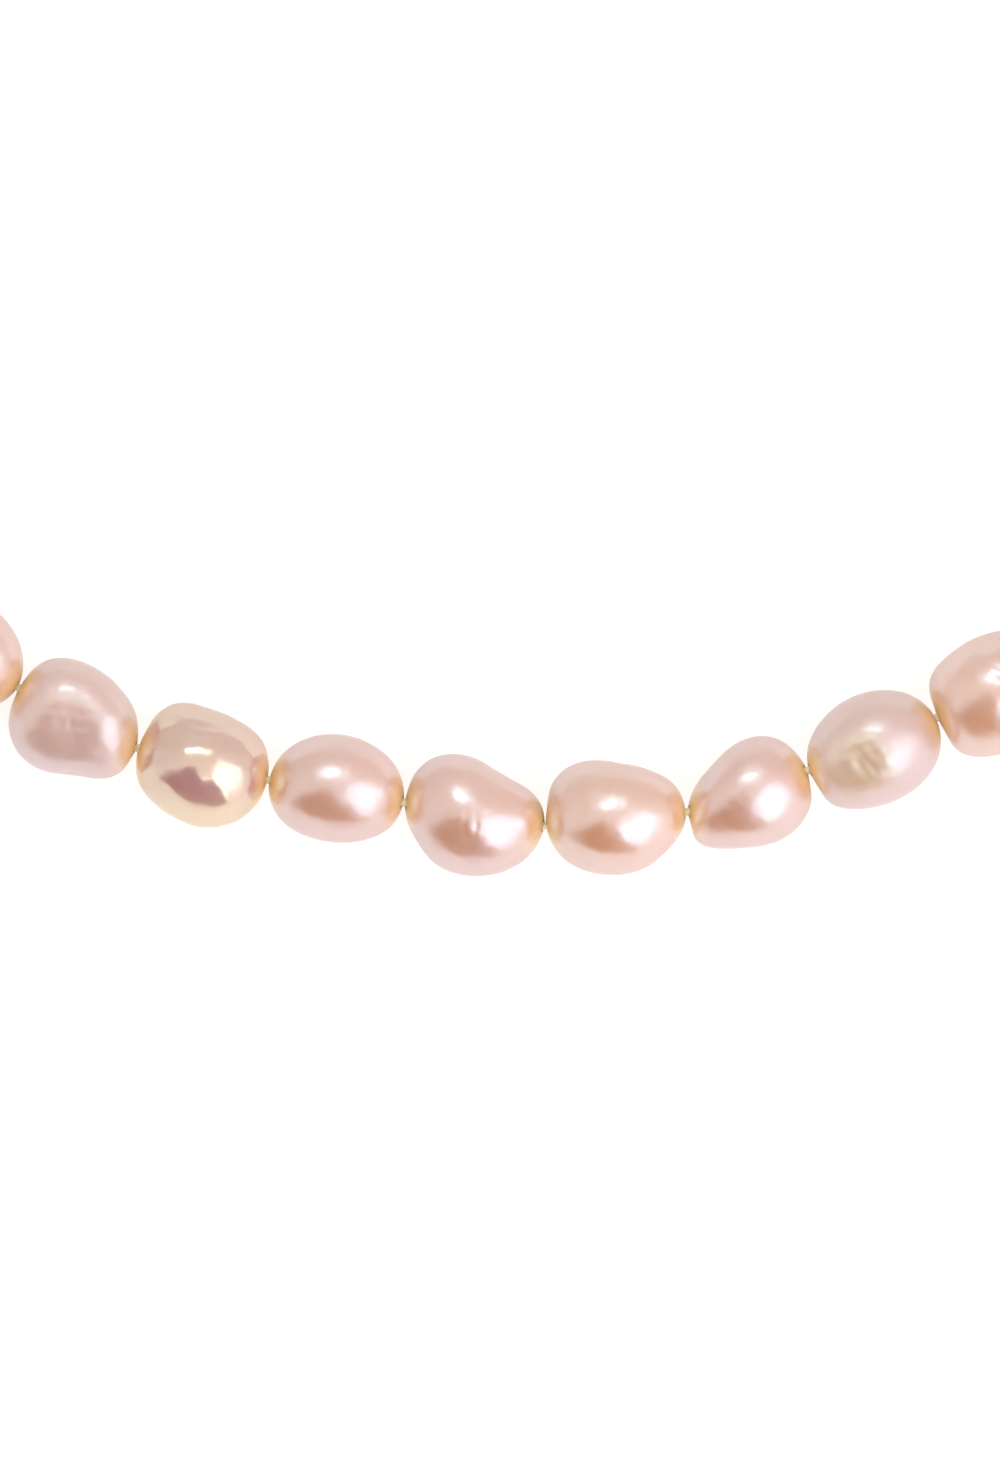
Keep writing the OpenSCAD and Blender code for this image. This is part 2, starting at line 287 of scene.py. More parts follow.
def nacre(name):
    """Nacre: a warm, slightly translucent body under layers that mirror in a cooler tint."""
    tones = NACRES[name]
    material, nodes, links = new_material(name)
    shader = nodes["Principled BSDF"]
    place = nodes.new("ShaderNodeTexCoord").outputs["Object"]
    clouds = span(nodes, links, noise(nodes, links, place, 170, 3), 0.35, 0.7)
    drift = span(nodes, links, noise(nodes, links, place, 95, 1), 0.42, 0.62, 0, 0.7)
    colour = mix(nodes, links, clouds, tones["body"], tones["deep"])
    colour = mix(nodes, links, drift, colour, tones["second"])
    colour = mix(nodes, links, attribute(nodes, "stain"), colour, STAIN)
    # Painted light: the warm bounce glow from neighbouring pearls, mixed into the colour round each drill
    # hole.
    colour = mix(nodes, links, attribute(nodes, "hole"), colour, PAINTED_BOUNCE_GLOW)
    links.new(colour, shader.inputs["Base Color"])
    shader.inputs["IOR"].default_value = 2.6
    shader.inputs["Specular IOR Level"].default_value = tones["lustre"]
    shader.inputs["Specular Tint"].default_value = (*tones["overtone"], 1)
    shader.inputs["Subsurface Weight"].default_value = 0.25
    shader.inputs["Subsurface Scale"].default_value = 0.8 * MM
    shader.inputs["Subsurface Radius"].default_value = (1.0, 0.5, 0.3)
    shader.inputs["Coat Weight"].default_value = 0.3
    shader.inputs["Coat Roughness"].default_value = 0.1
    shader.inputs["Coat IOR"].default_value = 1.53
    shader.inputs["Sheen Weight"].default_value = 0.12
    shader.inputs["Sheen Roughness"].default_value = 0.35
    shader.inputs["Sheen Tint"].default_value = (1.0, 0.86, 0.84, 1)
    rough = tones["roughness"]
    polish = noise(nodes, links, place, 320, 2)
    links.new(span(nodes, links, polish, 0.3, 0.7, rough - 0.05, rough + 0.05), shader.inputs["Roughness"])
    normal = bump(nodes, links, noise(nodes, links, place, 420, 2), 0.05 * MM)
    normal = bump(nodes, links, noise(nodes, links, place, 900, 1), 0.008 * MM, under=normal)
    links.new(normal, shader.inputs["Normal"])
    return material


def metal(name, colour):
    """Polished metal with fine scratches, and a little tarnish in its colour and roughness."""
    material, nodes, links = new_material(name)
    shader = nodes["Principled BSDF"]
    place = nodes.new("ShaderNodeTexCoord").outputs["Object"]
    stretched = nodes.new("ShaderNodeMapping")
    stretched.inputs["Scale"].default_value = (1, 14, 14)
    links.new(place, stretched.inputs["Vector"])
    lines = noise(nodes, links, stretched.outputs[0], 900, 3, 0.7)
    smudge = noise(nodes, links, place, 260, 4)
    dull = tuple(DULL * c for c in colour)
    links.new(mix(nodes, links, span(nodes, links, smudge, 0.4, 0.75, 0, 0.6), colour, dull),
              shader.inputs["Base Color"])
    links.new(span(nodes, links, smudge, 0.3, 0.8, 0.18, 0.34), shader.inputs["Roughness"])
    shader.inputs["Metallic"].default_value = 1
    links.new(bump(nodes, links, lines, SCRATCH_DEPTH), shader.inputs["Normal"])
    return material


def silk():
    """Twisted silk: soft, matt, with fine fibres along the plies."""
    material, nodes, links = new_material("silk")
    shader = nodes["Principled BSDF"]
    place = nodes.new("ShaderNodeTexCoord").outputs["Object"]
    fibres = noise(nodes, links, place, 6000, 3, 0.7)
    links.new(mix(nodes, links, span(nodes, links, fibres, 0.3, 0.7), SILK_DARK, SILK_LIGHT),
              shader.inputs["Base Color"])
    shader.inputs["Roughness"].default_value = 0.75
    shader.inputs["Sheen Weight"].default_value = 0.5
    links.new(bump(nodes, links, fibres, 0.02 * MM), shader.inputs["Normal"])
    return material


# ---- pearls -------------------------------------------------------------------------------------

# The front pearls' shapes, in millimetres and degrees, each in its own frame: X along the bore to
# the right, Y towards the loop's centre, Z up. A direction is (angle round Z, angle above the table).
# half, shift: half the length and width, and how far the middle lies beside the bore. tilt: a turn round Z.
# bumps: (direction, height, spread), where a negative height is a dent.
# lines: (direction, direction, height, spread), a fine ridge or groove between two directions.
# stain: (direction, spread) of a spot with another colour and a wrinkled skin.
# unevenness: how far the skin rises and falls, where it isn't UNEVENNESS.
FRONT_SHAPES = {
    18: dict(half=(4.8, 4.0), shift=(-0.15, -0.4), tilt=4, bumps=[(140, 0, 0.2, 22), (40, 20, 0.15, 20)]),
    19: dict(half=(4.7, 3.95), shift=(-0.2, -0.3), tilt=-12,
             bumps=[(150, 0, 0.25, 25), (228, 0, 0.5, 30), (345, 0, 0.35, 18), (295, 0, -0.35, 18),
                    (30, 0, 0.15, 15), (289, 8, -0.16, 7), (270, 75, -1.0, 34), (20, 50, 0.3, 20),
                    (250, 0, 0.12, 20), (320, 0, 0.15, 14)],
             lines=[(200, 79, 255, 57, 0.018, 3.5), (287, 85, 279, 70, 0.018, 4),
                    (148, 53, 195, 56, 0.012, 4), (126, 52, 159, 71, 0.012, 4)],
             unevenness=0.009),
    20: dict(half=(4.7, 4.0), shift=(0, -0.2), tilt=-3,
             bumps=[(132, 0, 0.6, 20), (33, 0, 0.25, 16), (295, 0, 0.25, 28), (210, 0, 0.15, 16),
                    (20, 70, 0.08, 14), (250, 72, 0.06, 12), (195, 60, 0.18, 25)],
             unevenness=0.014),
    21: dict(half=(4.85, 3.8), shift=(0, 0.2), tilt=-2,
             bumps=[(215, 0, 0.25, 25), (340, 0, 0.1, 15), (145, 0, -0.1, 20), (200, 60, 0.1, 25)]),
    22: dict(half=(4.85, 4.0), shift=(0, -0.3), tilt=-2,
             bumps=[(138, 0, 0.8, 27), (62, 0, -0.55, 17), (12, 0, 0.2, 14), (214, 0, -0.25, 14),
                    (250, 0, 0.1, 25), (52, 45, -0.25, 22), (150, 55, 0.1, 28), (335, 50, -0.1, 26)],
             lines=[(174, 80, 237, 71, -0.018, 3), (237, 71, 273, 47, -0.018, 3),
                    (79, 87, 291, 76, -0.014, 2.5), (291, 76, 275, 52, -0.014, 2.5)]),
    23: dict(half=(4.9, 3.95), shift=(0, 0), tilt=-2,
             bumps=[(132, 0, 0.75, 25), (328, 0, -0.3, 20), (30, 0, 0.1, 16), (215, 0, 0.1, 20),
                    (50, 0, -0.1, 14), (78, 0, -0.1, 10), (200, 60, 0.2, 25)]),
    24: dict(half=(4.55, 3.75), shift=(0, -0.25), tilt=15,
             bumps=[(128, 0, -0.6, 26), (203, 0, 0.5, 14), (315, 0, 0.4, 26), (245, 0, -0.25, 18),
                    (50, 0, 0.15, 16), (340, 0, 0.12, 12)]),
    25: dict(half=(4.85, 3.95), shift=(-0.05, -0.35), tilt=6,
             bumps=[(212, 0, 0.3, 16), (320, 0, 0.15, 25), (160, 0, 0.1, 14), (214, 66, -0.3, 17)],
             lines=[(173, 62, 202, 56, 0.04, 4), (202, 56, 240, 45, 0.04, 4), (160, 78, 222, 75, 0.035, 4),
                    (215, 68, 245, 55, 0.03, 3), (190, 72, 250, 62, -0.025, 3)],
             stain=(214, 66, 42)),
    26: dict(half=(5.1, 4.15), shift=(-0.5, -0.6), tilt=3,
             bumps=[(150, 0, 0.45, 16), (206, 0, 0.3, 15), (70, 30, -0.2, 16)],
             lines=[(112, 47, 111, 87, -0.035, 3), (100, 60, 60, 75, -0.03, 3)]),
}
FRONT_GRID = (192, 128)   # faces round a front pearl and along it
OTHER_GRID = (80, 56)
HOLE_FLARE = 1.15         # how much wider a drill hole is at its chamfered rim
HOLE_CHAMFER = 0.12 * MM  # how deep the chamfer reaches
BORE_RINGS = 6            # rings along the drilled wall
PAINTED_GLOW_REACH = 2.8 * MM      # how far the painted bounce glow reaches from a drill hole
END_SPREAD = 20           # how far round a pearl's end its drill hole draws the surface, in degrees
ROOM_BLEND = 0.02 * MM    # how softly the room for the joints' turns is drawn into the ends, at the bore,
ROOM_BLEND_GROWTH = 0.08  # and how much more softly for each unit of length beside it
UNEVENNESS = 0.006        # how far a pearl's skin rises and falls, in millimetres
UNEVEN_WAVE = 0.30        # how far apart its rises are, in radians about the pearl's middle
WRINKLE_DEPTH = 0.016     # the same two for the skin of a spot
WRINKLE_WAVE = 0.24
STAINED_SHARE = 0.25      # how many of the other pearls have a spot


def other_shape(number, half_length, half_thickness):
    """A pearl's shape drawn by its number: an ellipsoid with a few broad lobes, dents and fine lines."""
    draw = random.Random(number)
    bumps = []
    for _ in range(draw.randint(3, 5)):
        height = draw.choice((-0.5, -0.3, 0.35, 0.5, 0.65)) * draw.uniform(0.6, 1.0)
        bumps.append((draw.choice((-1, 1)) * draw.uniform(40, 140), draw.uniform(-50, 50),
                      height, draw.uniform(22, 34)))
    lines = []
    for _ in range(draw.choice((0, 1, 3))):
        azimuth, elevation = draw.uniform(0, 360), draw.uniform(20, 70)
        lines.append((azimuth, elevation, azimuth + draw.uniform(30, 70), elevation + draw.uniform(-25, 15),
                      draw.choice((-0.02, 0.02)), 4))
    half = (half_length / MM, (half_thickness / MM) * draw.uniform(0.94, 1.0))
    shape = dict(half=half, shift=(draw.uniform(-0.1, 0.1), draw.uniform(-0.25, 0.25)),
                 tilt=draw.uniform(-14, 14), bumps=bumps, lines=lines)
    if draw.random() < STAINED_SHARE:
        shape["stain"] = (draw.uniform(0, 360), draw.uniform(30, 80), draw.uniform(15, 25))
    return shape


def unit(azimuth, elevation):
    a, e = math.radians(azimuth), math.radians(elevation)
    return np.array([math.cos(a) * math.cos(e), math.sin(a) * math.cos(e), math.sin(e)])


def angle_from(directions, centre):
    return np.degrees(np.arccos(np.clip(directions @ centre, -1, 1)))


def bell(angle, spread):
    return np.exp(-0.5 * (angle / spread) ** 2)


def line_profile(directions, first, last, spread):
    """1 along the line between two directions, falling to 0 beside it and beyond its ends."""
    length = angle_from(first[None], last)[0]
    nearest = None
    for t in np.linspace(0, 1, max(2, int(length / spread) + 1)):
        point = first * (1 - t) + last * t
        angle = angle_from(directions, point / np.linalg.norm(point))
        nearest = angle if nearest is None else np.minimum(nearest, angle)
    return bell(nearest, spread)


def stain_mask(directions, shape):
    """1 inside the pearl's spot and 0 outside it."""
    if "stain" not in shape:
        return np.zeros(len(directions))
    azimuth, elevation, spread = shape["stain"]
    angle = angle_from(directions, unit(azimuth, elevation))
    return np.clip(2.5 * (1 - angle / spread), 0, 1)


def waves(directions, draw, count, wavelength):
    """An even mix of smooth waves over the surface, about -1 to 1, the wavelength in radians."""
    total = np.zeros(len(directions))
    for _ in range(count):
        heading = unit(draw.uniform(0, 360), math.degrees(math.asin(draw.uniform(-1, 1))))
        turns = 2 * math.pi / (wavelength * draw.uniform(0.7, 1.5))
        total += np.sin(turns * (directions @ heading) + draw.uniform(0, 2 * math.pi))
    return total / math.sqrt(count)


def wrinkles(directions, number):
    return waves(directions, random.Random(2000 + number), 8, WRINKLE_WAVE)


def free_distance(directions, shape, half_height, drop):
    """How far the surface lies from the bore's middle along each direction, in millimetres."""
    tilt = math.radians(shape["tilt"])
    turn = np.array([[math.cos(tilt), math.sin(tilt), 0], [-math.sin(tilt), math.cos(tilt), 0], [0, 0, 1]])
    scale = 1 / np.array([*shape["half"], half_height])
    d = (directions @ turn.T) * scale
    c = (turn @ np.array([*shape["shift"], -drop])) * scale
    along, square, inside = d @ c, (d * d).sum(1), c @ c - 1
    reach = (along + np.sqrt(along * along - square * inside)) / square
    for azimuth, elevation, height, spread in shape["bumps"]:
        reach = reach + height * bell(angle_from(directions, unit(azimuth, elevation)), spread)
    return reach


def surface_distance(directions, shape, half_height, half_length, drop):
    """The same, drawn in or out round each drill hole until the pearl's end lies at half_length."""
    reach = free_distance(directions, shape, half_height, drop)
    for side in (-1, 1):
        end = np.array([side, 0, 0])
        step = half_length - free_distance(end[None], shape, half_height, drop)[0]
        reach = reach + step * bell(angle_from(directions, end), END_SPREAD)
    return reach


def fine_relief(directions, shape, number):
    """The skin's unevenness, lines and wrinkles, in millimetres."""
    draw = random.Random(1000 + number)
    relief = shape.get("unevenness", UNEVENNESS) * waves(directions, draw, 12, UNEVEN_WAVE)
    relief += WRINKLE_DEPTH * stain_mask(directions, shape) * wrinkles(directions, number)
    for a1, e1, a2, e2, height, spread in shape.get("lines", []):
        relief = relief + height * line_profile(directions, unit(a1, e1), unit(a2, e2), spread)
    return relief


def pearl_grid(number, shape, half_height, half_length, grid):
    """The surface as a grid of points, (rows along X, columns round it, 3), in metres about the bore's
    middle, and each point's direction. The first and last rows lie on the drill holes' rims."""
    round_count, row_count = grid
    hole = math.asin(BORE_RADIUS * HOLE_FLARE / half_length)
    polar = np.linspace(hole, math.pi - hole, row_count + 1)
    around = np.linspace(0, 2 * math.pi, round_count, endpoint=False)
    p, q = np.meshgrid(polar, around, indexing="ij")
    directions = np.stack([np.cos(p), np.sin(p) * np.cos(q), np.sin(p) * np.sin(q)], -1).reshape(-1, 3)
    drop = 0.0
    for _ in range(3):
        reach = surface_distance(directions, shape, half_height, half_length / MM, drop)
        points = directions * reach[:, None]
        drop += STRAND_Z / MM + points[:, 2].min()
    points += directions * fine_relief(directions, shape, number)[:, None]
    return (points * MM).reshape(len(polar), round_count, 3), directions


def limit_planes(number, side):
    """The planes through a gap's pivot that this pearl's end keeps behind, one for each limit of the
    joint there, as normals that point out of the pearl. The neighbour keeps the other half of the turn."""
    gap = number if side > 0 else number - 1
    if gap in (0, PEARLS):
        return []
    pair = {pearl_name(number), pearl_name(number + side)}
    joint = next(j for j in frame["joints"] if {j["parent"], j["child"]} == pair)
    before = (PIVOTS[gap] - PIVOTS[gap - 1]).normalized()
    after = (PIVOTS[gap + 1] - PIVOTS[gap]).normalized()
    outwards = (before + after).normalized() * side
    half_turn = -0.5 if joint["child"] == pearl_name(number) else 0.5
    return [Quaternion(joint["axis"], half_turn * math.radians(limit)) @ outwards
            for limit in joint["range_deg"]]


def make_room(points, number):
    """Draws the ends in where the neighbours would otherwise touch them at a joint's limit."""
    along = PIVOTS[number] - PIVOTS[number - 1]
    unturn = Quaternion((0, 0, 1), -math.atan2(along.y, along.x))
    softness = ROOM_BLEND + ROOM_BLEND_GROWTH * np.hypot(points[..., 1], points[..., 2])
    for side in (-1, 1):
        pivot = np.array([side * along.length / 2, 0, 0])
        for normal in limit_planes(number, side):
            over = (points - pivot) @ np.array(unturn @ normal)
            points[..., 0] -= side * (over + np.hypot(over, softness)) / 2


def add_bore(points):
    """Closes the grid with a chamfered rim at each end and the drilled wall between them."""
    around = np.linspace(0, 2 * math.pi, points.shape[1], endpoint=False)
    circle = np.stack([np.zeros_like(around), np.cos(around), np.sin(around)], -1) * BORE_RADIUS
    first, last = points[0].mean(0)[0], points[-1].mean(0)[0]
    stations = np.linspace(last + HOLE_CHAMFER, first - HOLE_CHAMFER, BORE_RINGS)
    rings = [circle + np.array([x, 0, 0]) for x in stations]
    return np.concatenate([points, np.array(rings)])


def grid_mesh(name, points):
    """A closed mesh from rings of points, whose last ring joins the first."""
    rings, count, _ = points.shape
    index = np.arange(rings * count).reshape(rings, count)
    below = np.roll(index, -1, axis=0)
    faces = np.stack([index, np.roll(index, -1, axis=1), np.roll(below, -1, axis=1), below], -1)
    mesh = bpy.data.meshes.new(name)
    mesh.from_pydata(points.reshape(-1, 3).tolist(), [], faces.reshape(-1, 4).tolist())
    mesh.polygons.foreach_set("use_smooth", [True] * len(mesh.polygons))
    mesh.update()
    return mesh


def set_attribute(mesh, name, values):
    layer = mesh.attributes.new(name, "FLOAT", "POINT")
    layer.data.foreach_set("value", np.asarray(values, np.float32))


def make_pearl(number, materials, slots):
    """One pearl in place of its CAD node, the same size, with its own lobes and dents."""
    name = pearl_name(number)
    left, right = PIVOTS[number - 1], PIVOTS[number]
    low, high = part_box(name)
    half_length = ((right - left).length - PEARL_GAP) / 2
    half_height = (high.z - low.z) / 2
    front = number in FRONT_SHAPES
    shape = FRONT_SHAPES[number] if front else other_shape(number, half_length, half_height)
    grid = FRONT_GRID if front else OTHER_GRID
    points, directions = pearl_grid(number, shape, half_height / MM, half_length, grid)
    make_room(points, number)
    points = add_bore(points)
    mesh = grid_mesh(name + "_nacre", points)
    flat = points.reshape(-1, 3)
    # The mask for the painted bounce glow: 1 at a drill hole, fading out further from it.
    hole_distance = np.hypot(half_length - np.abs(flat[:, 0]), np.hypot(flat[:, 1], flat[:, 2]))
    set_attribute(mesh, "hole", np.clip(1 - hole_distance / PAINTED_GLOW_REACH, 0, 1))
    stain = stain_mask(directions, shape) * np.clip(0.8 - 0.35 * wrinkles(directions, number), 0, 1)
    set_attribute(mesh, "stain", np.resize(stain, len(flat)))
    piece = bpy.data.objects.new(name + "_nacre", mesh)
    piece.location = (left + right) / 2
    along = right - left
    piece.rotation_euler.z = math.atan2(along.y, along.x)
    bpy.context.scene.collection.objects.link(piece)
    mesh.materials.append(materials[slots[name]])
    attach(piece, name)
    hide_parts(name)


def tube_mesh(name, rings):
    """A smooth closed tube through rings of points, with a flat face at each end."""
    count, last = len(rings[0]), len(rings) - 1
    faces = []
    for first in range(0, last * count, count):
        for k in range(count):
            after = (k + 1) % count
            faces.append((first + k, first + after, first + count + after, first + count + k))
    faces.append(tuple(range(count - 1, -1, -1)))
    faces.append(tuple(range(last * count, (last + 1) * count)))
    mesh = bpy.data.meshes.new(name)
    mesh.from_pydata([tuple(p) for ring in rings for p in ring], [], faces)
    mesh.polygons.foreach_set("use_smooth", [True] * len(mesh.polygons))
    return mesh


# ---- thread -------------------------------------------------------------------------------------

THREAD_SIDES = 24
THREAD_PLIES = 3
THREAD_TWIST = 1.6 * MM   # length of one turn of the plies
THREAD_RINGS = 25         # rings along one stretch
THREAD_DOME = (1.0, 0.85, 0.6, 0.35, 0.12)  # how wide the rings of a domed end are, of the whole
THREAD_REACH = 0.42 * MM  # how far a stretch reaches past a gap's pivot
THREAD_START = 0.46 * MM  # how far from the pivot the next stretch starts, clear of that end


def ply_radius(angle, travelled):
    swell = abs(math.cos(THREAD_PLIES / 2 * (angle + 2 * math.pi * travelled / THREAD_TWIST)))
    return THREAD_RADIUS * (0.8 + 0.2 * swell)


def thread_piece(name, start, end, domed, body, material):
    """A straight stretch of plied thread on one body. A domed one runs on past its end, which is a gap's
    pivot, and is round about the pivot there, so that it turns freely in the next pearl's hole."""
    along = (end - start).normalized()
    side = along.cross(Vector((0, 0, 1))).normalized()
    up = side.cross(along)
    length = (end - start).length
    angles = [2 * math.pi * k / THREAD_SIDES for k in range(THREAD_SIDES)]
    outward = [side * math.cos(a) + up * math.sin(a) for a in angles]
    rings = []
    for travelled in np.linspace(0, length, THREAD_RINGS):
        rings.append([start + along * travelled + d * ply_radius(a, travelled)
                      for a, d in zip(angles, outward)])
    for share in THREAD_DOME if domed else ():
        radii = [share * ply_radius(a, length) for a in angles]
        rings.append([end + along * math.sqrt(THREAD_REACH ** 2 - r * r) + d * r
                      for r, d in zip(radii, outward)])
    piece = bpy.data.objects.new(name, tube_mesh(name, rings))
    piece.data.materials.append(material)
    bpy.context.scene.collection.objects.link(piece)
    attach(piece, body)
    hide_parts("silk_thread")


def knot_point(side):
    """Where the thread ends, inside the knot of that side's bead tip."""
    low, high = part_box("end_knot_" + side)
    return (low + high) / 2


def make_thread(material):
    """One stretch on each pearl and bead tip. Each reaches through the gap on the side of the chain's
    first body, and the next one starts inside that pearl's hole, so that no joint tears the thread."""
    bodies = ["bead_tip_left"] + [pearl_name(n) for n in range(1, PEARLS + 1)] + ["bead_tip_right"]
    children = {j["child"] for j in frame["joints"]}
    first = next(i for i, body in enumerate(bodies) if body not in children)
    stops = [knot_point("left")] + PIVOTS + [knot_point("right")]
    for i, body in enumerate(bodies):
        start, end = (stops[i], stops[i + 1]) if i <= first else (stops[i + 1], stops[i])
        step = (end - start).normalized() * THREAD_START
        if body.startswith("pearl"):
            start = start + step
        if i == first:
            end = end - step
        thread_piece(f"thread_{i:02d}", start, end, i != first, body, material)


# ---- fittings -----------------------------------------------------------------------------------

RING_WIRE = 0.4 * MM      # radius of a jump ring's wire
RING_CUT = 0.06 * MM      # the gap where a jump ring was bent shut
RING_CUT_ANGLE = 50       # where that gap lies, in degrees above the ring's level
RING_POINTS = 97
RING_SIDES = 32
COIL_WIRE = 0.055 * MM    # radius of the spring's wire
COIL_RADIUS = 0.5 * MM
COIL_PITCH = 2.15 * COIL_WIRE
COIL_LEG = 0.5 * MM
COIL_TURNS = 2.2
COIL_POINTS = 90
COIL_SIDES = 14
KNOT_WIRE = 0.22 * MM
KNOT_RADIUS = 0.43 * MM   # how far the knot's strand runs from its axis, on average
KNOT_WAVE = 0.24 * MM     # and how far it weaves in and out
KNOT_DEPTH = 1.4 * KNOT_WAVE  # how far it weaves along the axis
KNOT_RUN = 0.985          # how much of a closed loop the strand runs, so that its ends stay apart
KNOT_POINTS = 160
KNOT_SIDES = 16
RIVET_RADIUS = 0.35 * MM
RIVET_HALF = 1.25 * MM    # from the rivet's middle to the rim of a head's dome
RIVET_NECK = 0.075 * MM   # how far below that the shank begins
RIVET_SIDES = 40
# A domed head's outline from its crown outwards: radius, and height over that rim, in millimetres
RIVET_HEAD = [(0.06, 0.05), (0.2, 0.045), (0.36, 0.03), (0.46, 0.0), (0.5, -0.04), (0.47, -0.07)]
# How finely each casting's surface is drawn, in millimetres, and how often it is smoothed
CASTINGS = {
    "claw_body": (0.06, 14), "claw_lever": (0.05, 12), "catch_tab": (0.05, 16),
    "bead_tip_left": (0.05, 5), "bead_tip_right": (0.05, 5),
}


def joint_axis(name):
    return Vector(next(j["axis"] for j in frame["joints"] if j["name"] == name)).normalized()


def middle_of(node):
    low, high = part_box(node)
    return (low + high) / 2


def put_in_place(node, name, mesh, materials, slots):
    """Puts a piece in its CAD node's place, on the node's own body and in its material slot."""
    mesh.materials.clear()
    mesh.materials.append(materials[slots[node]])
    piece = bpy.data.objects.new(name, mesh)
    bpy.context.scene.collection.objects.link(piece)
    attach(piece, frame["nodes"][node]["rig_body"])
    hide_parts(node)


def wire_mesh(name, points, radius, sides):
    """A round wire along a line of points, with both ends cut square and slightly chamfered."""
    last = len(points) - 1
    normal = (points[1] - points[0]).orthogonal().normalized()
    rings = []
    for i, at in enumerate(points):
        along = (points[min(i + 1, last)] - points[max(i - 1, 0)]).normalized()
        normal = (normal - along * normal.dot(along)).normalized()
        side = along.cross(normal)
        r = radius * (0.85 if i in (0, last) else 1.0)
        angles = [2 * math.pi * k / sides for k in range(sides)]
        rings.append([at + (normal * math.cos(a) + side * math.sin(a)) * r for a in angles])
    return tube_mesh(name, rings)


def main_normal(mesh):
    """The direction that most of the mesh's area faces."""
    totals = {}
    for face in mesh.polygons:
        key = tuple(round(c, 1) for c in face.normal)
        totals[key] = totals.get(key, Vector()) + face.normal * face.area
    return max(totals.values(), key=lambda total: total.length).normalized()


def make_casting(node, materials, slots):
    """The CAD node's own shape with its edges rounded over, as on a tumbled casting."""
    grain, rounds = CASTINGS[node]
    mesh = frame["nodes"][node].data.copy()
    turn = main_normal(mesh).rotation_difference(Vector((0, 0, 1))).to_matrix().to_4x4()
    mesh.transform(Matrix.Scale(1 / MM, 4) @ turn)
    raw = bpy.data.objects.new("raw_casting", mesh)
    bpy.context.scene.collection.objects.link(raw)
    skin = raw.modifiers.new("skin", "REMESH")
    skin.mode = "VOXEL"
    skin.voxel_size = grain
    polish = raw.modifiers.new("polish", "SMOOTH")
    polish.factor = 0.5
    polish.iterations = rounds
    made = bpy.data.meshes.new_from_object(raw.evaluated_get(bpy.context.evaluated_depsgraph_get()))
    bpy.data.objects.remove(raw)
    made.transform(turn.inverted() @ Matrix.Scale(MM, 4))
    made.polygons.foreach_set("use_smooth", [True] * len(made.polygons))
    put_in_place(node, node + "_cast", made, materials, slots)


def make_jump_ring(side, materials, slots):
    """A ring of wire bent shut, with its cut above, on the side of the necklace's opening."""
    node = "jump_ring_" + side
    low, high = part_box(node)
    across = joint_axis(f"ring_{side}_swing")
    level = across.cross(Vector((0, 0, 1))).normalized()
    towards_opening = 1 if side == "left" else -1
    radius = (high.z - low.z) / 2 - RING_WIRE
    cut = RING_CUT / radius
    cut_at = RING_CUT_ANGLE if level.x * towards_opening > 0 else 180 - RING_CUT_ANGLE
    start = math.radians(cut_at) + cut / 2
    middle = middle_of(node)
    points = []
    for a in np.linspace(start, start + 2 * math.pi - cut, RING_POINTS):
        points.append(middle + (level * math.cos(a) + Vector((0, 0, math.sin(a)))) * radius)
    mesh = wire_mesh(node + "_wire", points, RING_WIRE, RING_SIDES)
    put_in_place(node, node + "_wire", mesh, materials, slots)


def make_spring(materials, slots):
    """The lever's torsion spring: a short coil round the rivet with two straight legs."""
    axis = joint_axis("claw_lever_hinge")
    one = axis.orthogonal().normalized()
    two = axis.cross(one)
    middle = middle_of("claw_spring")
    coil = []
    for t in np.linspace(-0.5, 0.5, COIL_POINTS):
        a = 2 * math.pi * COIL_TURNS * t
        round_axis = (one * math.cos(a) + two * math.sin(a)) * COIL_RADIUS
        coil.append(middle + round_axis + axis * COIL_PITCH * COIL_TURNS * t)
    first_leg = coil[0] + (coil[0] - coil[1]).normalized() * COIL_LEG
    last_leg = coil[-1] + (coil[-1] - coil[-2]).normalized() * COIL_LEG
    mesh = wire_mesh("claw_spring_coil", [first_leg, *coil, last_leg], COIL_WIRE, COIL_SIDES)
    put_in_place("claw_spring", "claw_spring_coil", mesh, materials, slots)


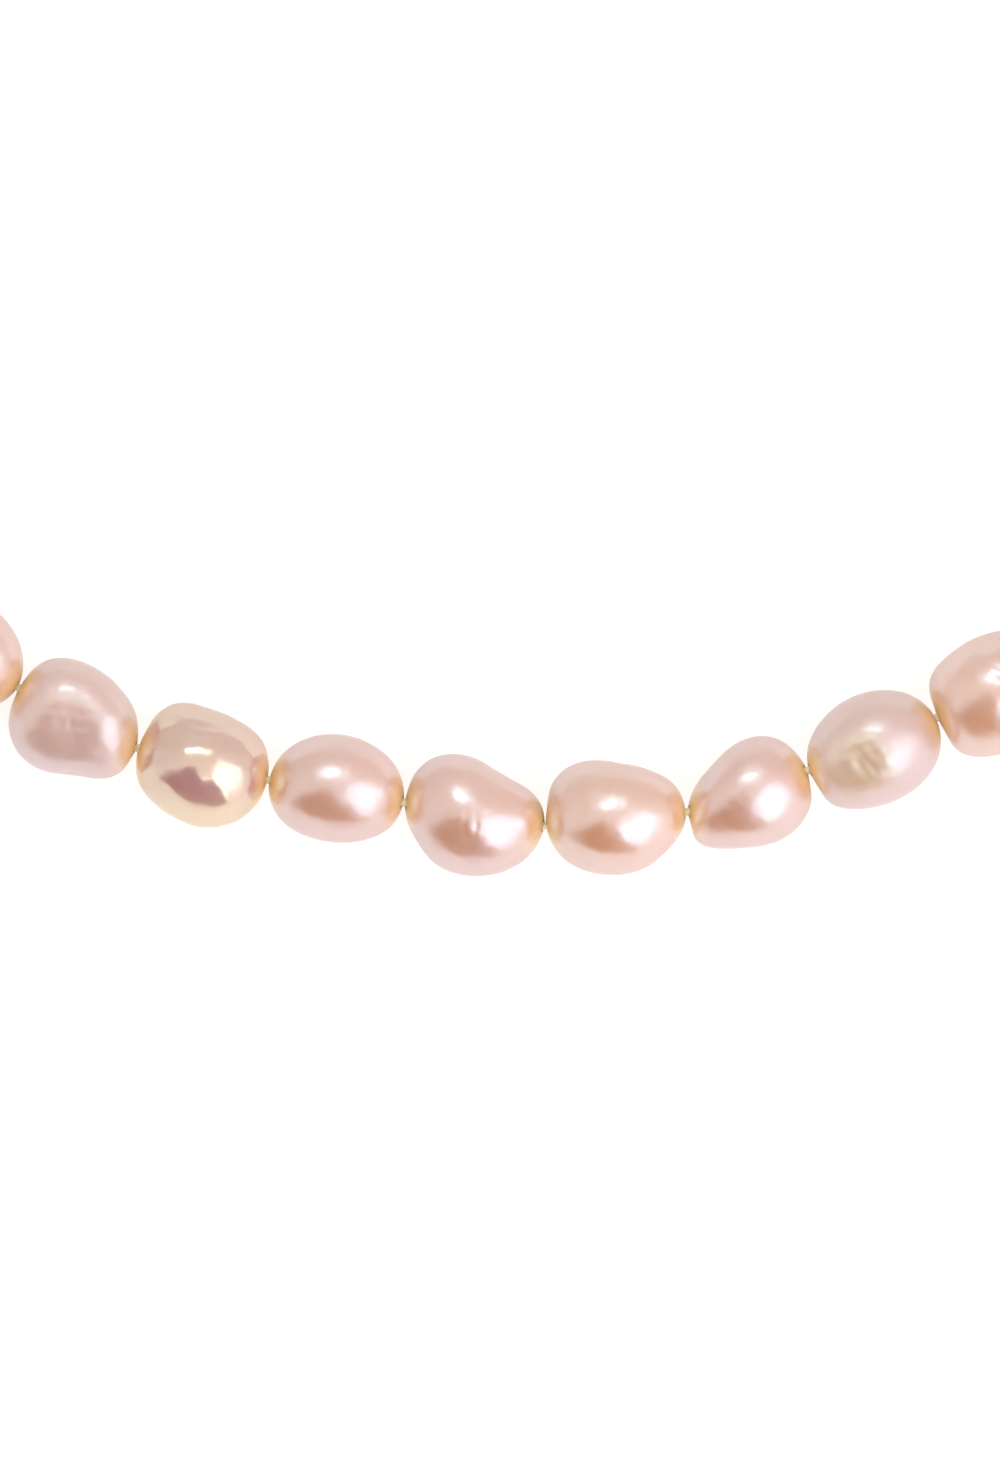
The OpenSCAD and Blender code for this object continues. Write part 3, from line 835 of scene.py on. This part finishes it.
def make_rivet(materials, slots):
    """A pin with a low domed head peened over at each end."""
    axis = joint_axis("claw_lever_hinge")
    one = axis.orthogonal().normalized()
    two = axis.cross(one)
    middle = middle_of("claw_rivet")
    top = [(r * MM, RIVET_HALF + z * MM) for r, z in RIVET_HEAD]
    top.append((RIVET_RADIUS, RIVET_HALF - RIVET_NECK))
    profile = [(r, -z) for r, z in top] + top[::-1]
    angles = [2 * math.pi * k / RIVET_SIDES for k in range(RIVET_SIDES)]
    rings = []
    for r, z in profile:
        rings.append([middle + (one * math.cos(a) + two * math.sin(a)) * r + axis * z for a in angles])
    put_in_place("claw_rivet", "claw_rivet_pin", tube_mesh("claw_rivet_pin", rings), materials, slots)


def make_knot(side, materials, slots):
    """The thread's end tied in a round knot: a strand that goes twice round and weaves three times."""
    node = "end_knot_" + side
    middle = middle_of(node)
    axis = (middle - PIVOTS[0 if side == "left" else -1]).normalized()
    one = axis.orthogonal().normalized()
    two = axis.cross(one)
    points = []
    for t in np.linspace(0, 2 * math.pi * KNOT_RUN, KNOT_POINTS):
        r = KNOT_RADIUS + KNOT_WAVE * math.cos(3 * t)
        points.append(middle + (one * math.cos(2 * t) + two * math.sin(2 * t)) * r
                      + axis * KNOT_DEPTH * math.sin(3 * t))
    mesh = wire_mesh(node + "_tied", points, KNOT_WIRE, KNOT_SIDES)
    put_in_place(node, node + "_tied", mesh, materials, slots)


def make_fittings(materials, slots):
    for node in CASTINGS:
        make_casting(node, materials, slots)
    for side in ("left", "right"):
        make_jump_ring(side, materials, slots)
        make_knot(side, materials, slots)
    make_spring(materials, slots)
    make_rivet(materials, slots)


# ---- the whole ----------------------------------------------------------------------------------

def build():
    slots = {s["node"]: s["material_slot"] for s in frame["record"]["subparts"]}
    materials = {name: nacre(name) for name in NACRES}
    materials["silver"] = metal("silver", SILVER)
    materials["spring_steel"] = metal("spring_steel", SPRING_STEEL)
    materials["silk"] = silk()
    make_studio()
    for number in range(1, PEARLS + 1):
        make_pearl(number, materials, slots)
    make_thread(materials["silk"])
    make_fittings(materials, slots)


build()
